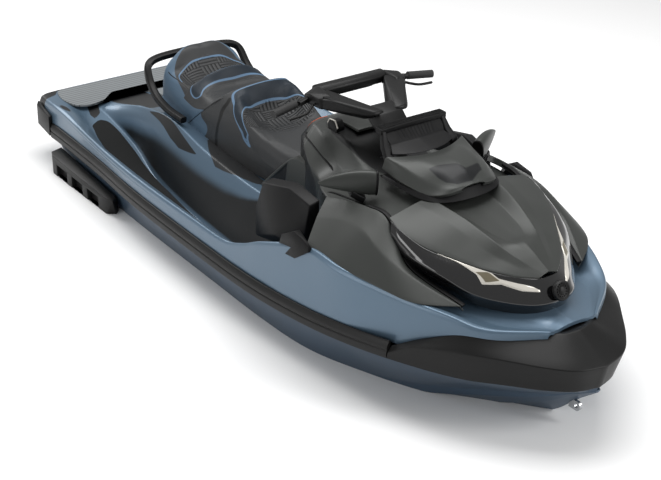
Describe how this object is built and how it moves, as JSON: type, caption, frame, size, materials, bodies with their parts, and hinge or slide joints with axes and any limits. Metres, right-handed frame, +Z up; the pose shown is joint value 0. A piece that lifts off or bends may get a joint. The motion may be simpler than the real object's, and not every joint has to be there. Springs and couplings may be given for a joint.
{
  "type": "personal watercraft",
  "caption": "Sit-on personal watercraft afloat: hull and decked topside with footwells, padded seats, steering handlebar, storage covers, jet pump with steering nozzle and reverse bucket.",
  "frame": {"origin": "on the centreline amidships, at the waterline", "axes": "+X to the bow, +Y to port, +Z up"},
  "size_m": [3.439, 1.2576, 1.154],
  "materials": {
    "hull_paint": "satin metallic",
    "deck_paint": "satin metallic",
    "black_plastic": "matt",
    "grey_plastic": "satin",
    "gloss_black": "gloss",
    "mat_grey": "grooved foam",
    "mat_black": "textured foam",
    "vinyl": "marine vinyl",
    "light_trim": "satin",
    "grip_rubber": "matt",
    "cast_metal": "cast",
    "steel": "brushed",
    "engine_grey": "matt"
  },
  "bodies": {
    "craft": {"lower_hull": "hull_paint", "deck": "deck_paint", "bow_bumper": "black_plastic", "starboard_rub_rail": "black_plastic", "port_rub_rail": "black_plastic", "starboard_stern_bumper": "black_plastic", "port_stern_bumper": "black_plastic", "platform_mat": "mat_grey", "starboard_footwell_mat": "mat_black", "port_footwell_mat": "mat_black", "rear_seat": "vinyl", "front_seat": "vinyl", "grab_handle": "black_plastic", "starboard_sponson": "black_plastic", "port_sponson": "black_plastic", "starboard_speaker": "black_plastic", "port_speaker": "black_plastic", "starboard_vent": "black_plastic", "port_vent": "black_plastic", "starboard_side_panel": "grey_plastic", "port_side_panel": "grey_plastic", "hood": "grey_plastic", "nose_fascia": "gloss_black", "starboard_headlight": "light_trim", "port_headlight": "light_trim", "nose_cap": "gloss_black", "console": "grey_plastic", "starboard_mirror": "grey_plastic", "port_mirror": "grey_plastic", "engine_block": "engine_grey", "pump_housing": "cast_metal", "intake_grate": "cast_metal", "ride_plate": "black_plastic", "bow_eye": "steel", "stern_eyes": "steel"},
    "steering": {"handlebar": "black_plastic", "starboard_grip": "grip_rubber", "port_grip": "grip_rubber", "throttle_lever": "black_plastic", "brake_lever": "black_plastic"},
    "glovebox": {"glovebox_lid": "grey_plastic"},
    "storage_cover": {"storage_lid": "grey_plastic", "instrument_visor": "black_plastic"},
    "nozzle": {"steering_nozzle": "cast_metal"},
    "bucket": {"reverse_bucket": "black_plastic"},
    "impeller_set": {"impeller": "steel", "drive_shaft": "steel"},
    "ladder": {"boarding_ladder": "black_plastic"}
  },
  "joints": [
    {"name": "steering", "type": "hinge", "parent": "craft", "child": "steering", "pos_m": [0.475, 0, 0.725], "axis": [-0.5736, 0, 0.8192], "range_deg": [-20, 20]},
    {"name": "nozzle_swing", "type": "hinge", "parent": "craft", "child": "nozzle", "pos_m": [-1.51, 0, -0.128], "axis": [0, 0, 1], "range_deg": [-20, 20]},
    {"name": "impeller_spin", "type": "hinge", "parent": "craft", "child": "impeller_set", "pos_m": [-1.19, 0, -0.128], "axis": [1, 0, 0], "continuous": true},
    {"name": "bucket_tilt", "type": "hinge", "parent": "craft", "child": "bucket", "pos_m": [-1.51, 0, -0.128], "axis": [0, -1, 0], "range_deg": [0, 50]},
    {"name": "storage_lid_open", "type": "hinge", "parent": "craft", "child": "storage_cover", "pos_m": [0.975, 0, 0.692], "axis": [0, 1, 0], "range_deg": [0, 50]},
    {"name": "glovebox_open", "type": "hinge", "parent": "craft", "child": "glovebox", "pos_m": [0.328, 0, 0.742], "axis": [0, 1, 0], "range_deg": [0, 40]},
    {"name": "ladder_swing", "type": "hinge", "parent": "craft", "child": "ladder", "pos_m": [-1.704, 0.28, 0.132], "axis": [0, 1, 0], "range_deg": [0, 90]}
  ],
  "couplings": [
    {"joint": "nozzle_swing", "follows": "steering", "ratio": -1}
  ]
}
